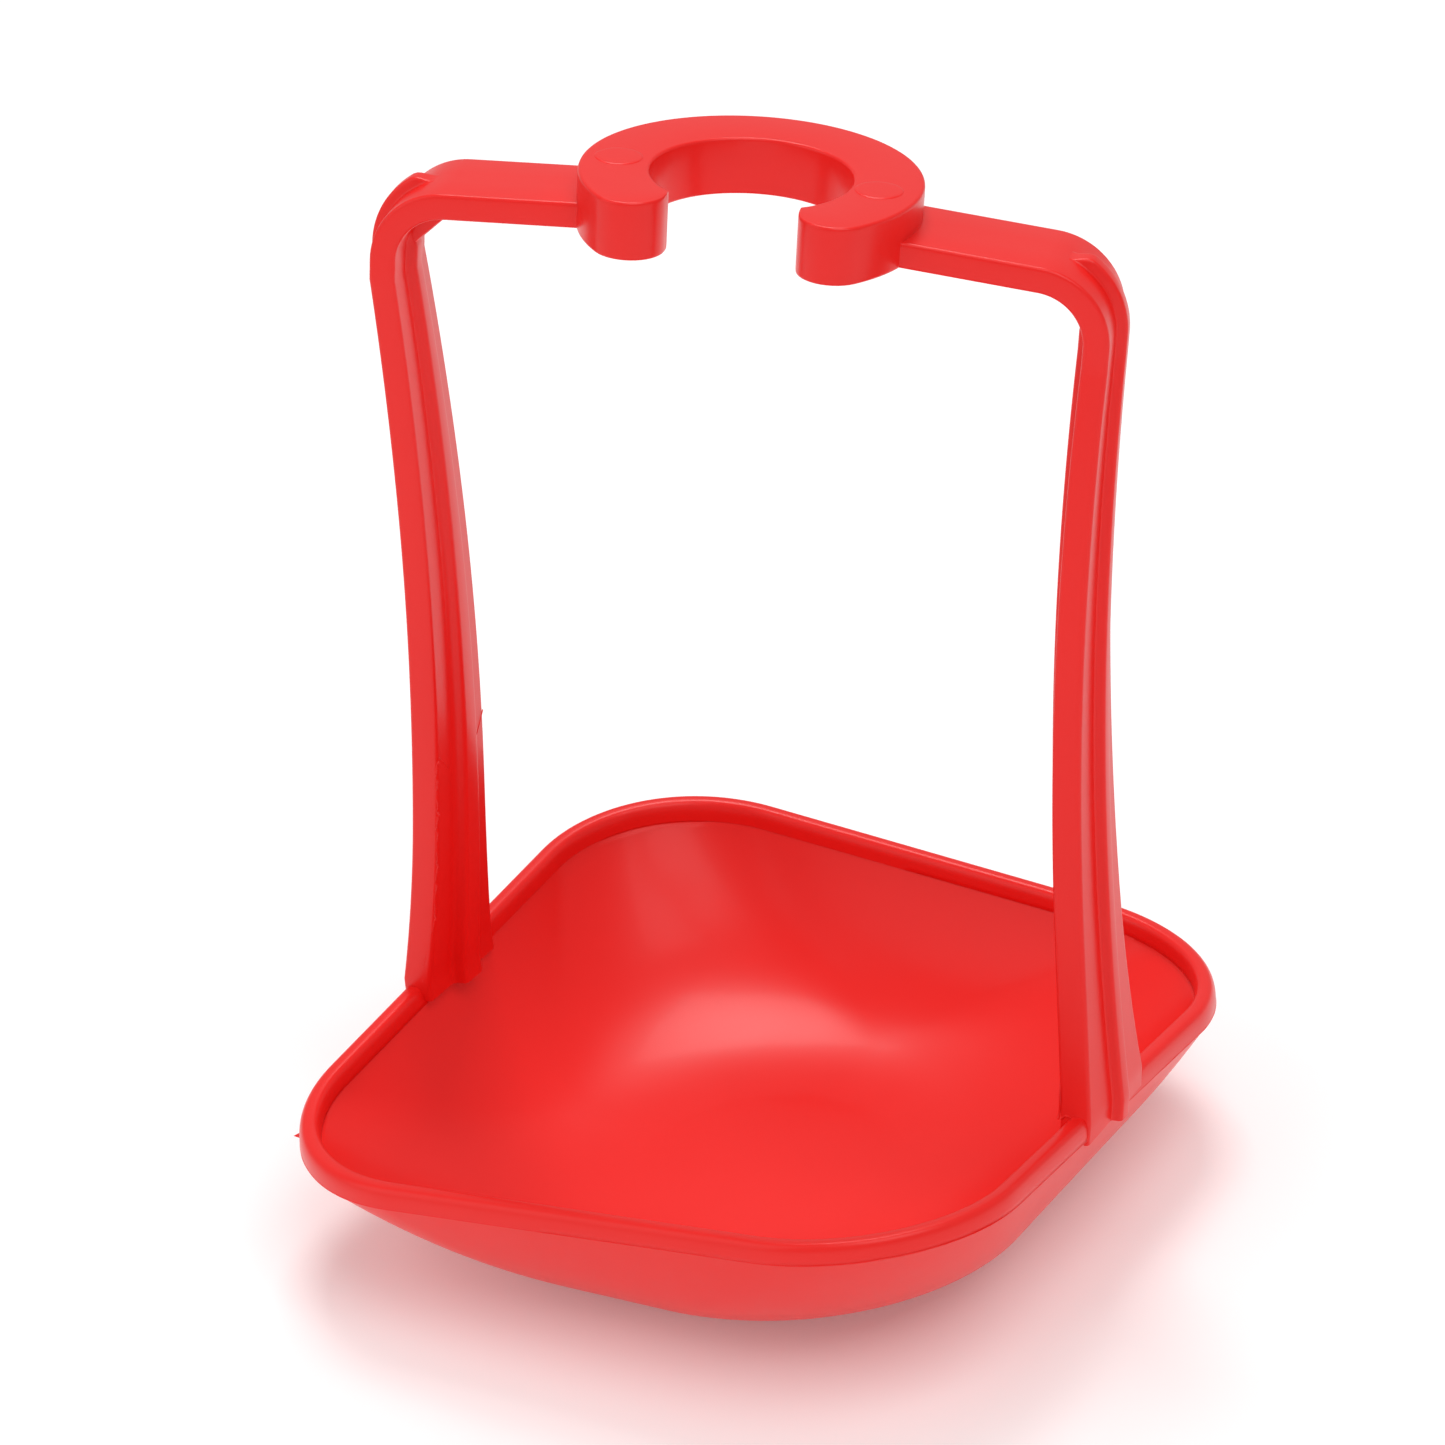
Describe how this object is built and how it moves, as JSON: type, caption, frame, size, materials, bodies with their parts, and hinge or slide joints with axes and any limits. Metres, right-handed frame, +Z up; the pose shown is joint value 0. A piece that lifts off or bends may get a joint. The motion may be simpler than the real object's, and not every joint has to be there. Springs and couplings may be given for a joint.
{
  "type": "hanging drip cup",
  "caption": "One-piece moulded plastic cup with a shallow rounded-square bowl, ribbed arms and an open clip ring that hangs it under a nipple drinker.",
  "frame": {"origin": "middle of the flat underside that the bowl stands on", "axes": "+Z up, X from the left arm to the right arm, the clip ring's mouth towards -Y"},
  "size_m": [0.083, 0.083, 0.1138],
  "materials": {
    "red_polypropylene": "glossy, as moulded"
  },
  "bodies": {
    "root": {"bowl_shell": "red_polypropylene", "rim_lip": "red_polypropylene", "clip_ring": "red_polypropylene", "left_arm": "red_polypropylene", "left_inner_rib": "red_polypropylene", "left_outer_rib": "red_polypropylene", "left_elbow": "red_polypropylene", "left_knuckle_rib": "red_polypropylene", "left_gusset": "red_polypropylene", "left_crossbar": "red_polypropylene", "right_arm": "red_polypropylene", "right_inner_rib": "red_polypropylene", "right_outer_rib": "red_polypropylene", "right_elbow": "red_polypropylene", "right_knuckle_rib": "red_polypropylene", "right_gusset": "red_polypropylene", "right_crossbar": "red_polypropylene"}
  },
  "joints": []
}
